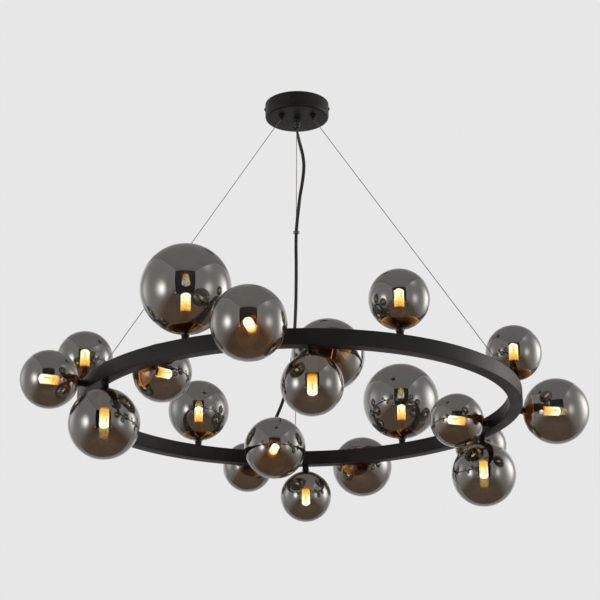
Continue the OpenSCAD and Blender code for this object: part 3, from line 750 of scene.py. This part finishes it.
def bulbMesh():
    # The frosted capsule with its dome, the flat pinched foot and the two pins.
    bulb = {"r": 8 * mm, "length": 34 * mm, "dome": 10.5 * mm, "footWidth": 14 * mm, "footDepth": 5.6 * mm,
        "footLength": 11.3 * mm, "pinR": 1 * mm, "pinLength": 6 * mm, "pinPitch": 9 * mm, "tipR": 1.2 * mm}
    low = columnTop + 0.3 * mm
    high = low + bulb["length"]
    centre = high - 0.7 * mm - bulb["dome"]
    edge = math.degrees(math.asin(bulb["r"] / bulb["dome"]))
    dome = arc(centre, bulb["dome"], 180 - edge, 172, 14)
    dome += [(bulb["tipR"], dome[-1][1] + 0.1 * mm), (bulb["tipR"] * 0.6, high - 0.15 * mm), (0, high)]
    barrel = rounded([(0, low, 0), (bulb["r"], low, 1.2 * mm), (bulb["r"], dome[0][1] - 1 * mm, 0)], 6)
    capsule = lathe(barrel + dome, 64)
    footLow = low - bulb["footLength"]
    foot = roundedSlab(bulb["footWidth"], bulb["footDepth"], footLow, low, 1.2 * mm)
    pins = []
    for side in (-1, 1):
        pinLow = footLow - bulb["pinLength"]
        pinVerts, pinFaces = lathe(rounded([(0, pinLow, 0), (bulb["pinR"], pinLow, 0.4 * mm),
            (bulb["pinR"], footLow, 0), (0, footLow, 0)], 3), 24)
        pins.append(([(x + side * bulb["pinPitch"] / 2, y, z) for x, y, z in pinVerts], pinFaces))
    verts, faces, groups = joined(capsule, foot, *pins)
    frosted = makeFrostedBulb(low, high)
    return meshOf("bulb", verts, faces, [frosted, bulbFoot, zincSteel], 40, [min(g, 2) for g in groups])


def roundedSlab(width, depth, low, high, corner):
    # An upright slab with round corners seen from above and softened ends.
    verts, faces, rows, sides = [], [], [], 32
    for inset, z in ((0.5 * mm, low), (0, low + 0.5 * mm), (0, high)):
        rows.append(len(verts))
        for n in range(sides):
            angle = 2 * math.pi * (n + 0.5) / sides
            x, y = math.cos(angle), math.sin(angle)
            verts.append((math.copysign(width / 2 - corner, x) + (corner - inset) * x,
                math.copysign(depth / 2 - corner, y) + (corner - inset) * y, z))
    for a, b in zip(rows, rows[1:]):
        for n in range(sides):
            m = (n + 1) % sides
            faces.append((a + n, a + m, b + m, b + n))
    faces.append(tuple(range(sides - 1, -1, -1)))
    faces.append(tuple(range(rows[-1], rows[-1] + sides)))
    return verts, faces


def makeLamps():
    lamps, stem, bulb = lampFrames(), stemMesh(), bulbMesh()
    cups = {diameter: cupMesh(diameter) for diameter in sorted({lamp[2] for lamp in lamps})}
    for number, place, diameter in lamps:
        addPiece("stem" + number, stem, "fixture", ["stems"], place)
        addPiece("brassCup" + number, cups[diameter], "fixture", ["lamp_cups"], place)
        globe = globeMesh("glassGlobe" + number, diameter, place)
        addPiece("glassGlobe" + number, globe, "globe_" + number, ["globe_" + number])
        addPiece("capsuleBulb" + number, bulb, "bulb_" + number, ["bulb_" + number], place)


def dressCadNodes():
    # The solids that only show from inside or from above keep their own mesh.
    looks = {"ceiling_bracket": zincSteel, "canopy_screws": blackCoat, "terminal_block": ivoryPlastic,
        "cable_grippers": zincSteel, "ring_wiring": wirePlastic, "lock_nuts": zincSteel,
        "lampholders": ceramic}
    for node, material in looks.items():
        for socket in frame["nodes"][node].material_slots:
            socket.material = material


def addStageSheet(name, corners, material):
    mesh = bpy.data.meshes.new(name)
    mesh.from_pydata(corners, [], [(0, 1, 2, 3)])
    mesh.materials.append(material)
    sheet = bpy.data.objects.new(name, mesh)
    bpy.context.collection.objects.link(sheet)
    return sheet


def onlyShine(sheet):
    sheet.visible_camera = sheet.visible_diffuse = False
    sheet.visible_shadow = sheet.visible_transmission = False


def makeFloor():
    look = newLook("floorPaper")
    where = look.place()
    cloud = look.grain(where, 1.5, 2)
    tone = look.blend(cloud, (0.93, 0.93, 0.93), (0.95, 0.95, 0.95))
    paper = look.finish(Base_Color=tone, Roughness=0.8)
    floor = {"half": 30, "z": -3}
    half, z = floor["half"], floor["z"]
    addStageSheet("floor", [(-half, -half, z), (half, -half, z), (half, half, z), (-half, half, z)], paper)


def makeSoftboxes():
    # Two tall sheets of light on either side, each with its bright spots, seen only in what shines.
    box = {"x": 1.9, "near": -4.3, "far": 1.6, "low": -2.3, "high": 1.6, "fade": -1.1,
        "tint": (1, 0.985, 0.96), "floorTint": (0.055, 0.034, 0.02)}
    # The strength of each sheet, its plain share and the y, z, share and falloff of its spots
    sheets = {
        "left": (-1, 4.8, 0.1, ((-1.4, -0.8, 0.8, -5), (0.6, -0.2, 0.2, -4))),
        "right": (1, 4.4, 0.11,
            ((-1.45, -0.8, 0.34, -5), (0.6, -0.2, 0.85, -3), (-1.3, 1.5, 0.16, -3))),
    }
    for name, (side, strength, plain, spots) in sheets.items():
        look = newLook("softboxCloth_" + name)
        split = look.node("ShaderNodeSeparateXYZ", {}, {"Vector": look.place()})
        y, z = [Wire(look, split.socket.node.outputs[axis]) for axis in "YZ"]
        share = plain
        for spotY, spotZ, peak, falloff in spots:
            away = ((y - spotY) ** 2 + (z - spotZ) ** 2) * falloff
            share = share + peak * look.node("ShaderNodeMath", {"operation": "EXPONENT"}, {0: away})
        rise = look.node("ShaderNodeMapRange", {"interpolation_type": "SMOOTHSTEP"}, {
            "Value": z, "From Min": box["low"], "From Max": box["fade"]})
        glow = look.blend(rise, box["floorTint"], look.blend(share, (0, 0, 0), box["tint"]))
        light = look.node("ShaderNodeEmission", {}, {"Color": glow, "Strength": strength})
        look.node("ShaderNodeOutputMaterial", {}, {"Surface": light})
        x = side * box["x"]
        near, far, low, high = box["near"], box["far"], box["low"], box["high"]
        corners = [(x, near, low), (x, far, low), (x, far, high), (x, near, high)]
        onlyShine(addStageSheet("softbox_" + name, corners, look.owner))


def makeFlags():
    # The dark wall behind the camera, the grey ceiling and the brown table, seen only in what shines.
    flag = {"half": 1.9, "near": -4.4, "far": 3.5, "low": -2.95, "high": 1.65, "tableHalf": 5}
    half, near, far, low, high = flag["half"], flag["near"], flag["far"], flag["low"], flag["high"]
    wide = flag["tableHalf"]
    sheets = {
        "studioWall": ((0.004, 0.004, 0.004), (0.01, 0.01, 0.01),
            [(-half, near, low), (half, near, low), (half, near, high), (-half, near, high)]),
        "studioCeiling": ((0.56, 0.55, 0.53), (0.7, 0.69, 0.67),
            [(-half, near, high), (half, near, high), (half, far, high), (-half, far, high)]),
        "studioTable": ((0.26, 0.16, 0.09), (0.42, 0.27, 0.16),
            [(-wide, near, low), (wide, near, low), (wide, far, low), (-wide, far, low)]),
    }
    for name, (darker, lighter, corners) in sheets.items():
        look = newLook(name)
        cloud = look.grain(look.place(), 2, 2)
        cloth = look.finish(Base_Color=look.blend(cloud, darker, lighter), Roughness=0.9)
        onlyShine(addStageSheet(name, corners, cloth))


def makeWorld():
    world = bpy.data.worlds.new("paleStudio")
    bpy.context.scene.world = world
    look = Look(world)
    path = look.node("ShaderNodeLightPath")
    seen = [Wire(look, path.socket.node.outputs[name])
        for name in ("Is Camera Ray", "Is Glossy Ray", "Is Transmission Ray")]
    share = seen[0].maths("MAXIMUM", seen[0], seen[1].maths("MAXIMUM", seen[1], seen[2]))
    plain = look.node("ShaderNodeBackground", {}, {"Color": (1, 1, 1), "Strength": 0.45})
    pale = look.node("ShaderNodeBackground", {}, {"Color": (0.8, 0.8, 0.8), "Strength": 1.0})
    both = look.node("ShaderNodeMixShader", {}, {0: share, 1: plain, 2: pale})
    look.node("ShaderNodeOutputWorld", {}, {"Surface": both})


def makeLights():
    def area(name, place, aim, width, height, power):
        lamp = bpy.data.lights.new(name, "AREA")
        lamp.shape = "RECTANGLE"
        lamp.size, lamp.size_y, lamp.energy = width, height, power
        holder = bpy.data.objects.new(name, lamp)
        bpy.context.collection.objects.link(holder)
        holder.location = place
        holder.rotation_euler = (Vector(aim) - Vector(place)).to_track_quat("-Z", "Y").to_euler()
        holder.visible_camera = holder.visible_glossy = False

    area("lowFill", (0.3, -2.2, -2.4), (0, 0, -0.3), 2.4, 1.2, 30)
    area("topGlow", (0, 0.4, 2.4), (0, 0, -0.6), 3, 3, 40)


def makeCamera():
    view = {"lens": 104.94, "sensor": 36, "place": (0.0022, -3.005, -1.4594), "pitch": 19.54,
        "roll": -0.567}
    camera = bpy.data.cameras.new("camera")
    camera.lens, camera.sensor_width = view["lens"], view["sensor"]
    camera.clip_start, camera.clip_end = 0.01, 100
    holder = bpy.data.objects.new("camera", camera)
    bpy.context.collection.objects.link(holder)
    turn = Matrix.Rotation(math.radians(90 + view["pitch"]), 4, "X")
    roll = Matrix.Rotation(math.radians(view["roll"]), 4, "Z")
    holder.matrix_world = Matrix.Translation(view["place"]) @ turn @ roll
    bpy.context.scene.camera = holder


makeCamera()
print("camera")
makePowerCord()
makeCordClip()
makeGrommet()
makeCordGrip()
makeCanopy()
makeBallJoints()
makeCables()
print("canopy, cables and cord")
makeRing()
makeLamps()
print("ring and lamps")
dressCadNodes()
makeFloor()
makeSoftboxes()
makeFlags()
makeWorld()
makeLights()
scene = bpy.context.scene
scene.view_settings.view_transform = "Standard"
scene.cycles.transparent_max_bounces = 48
print("stage and light")
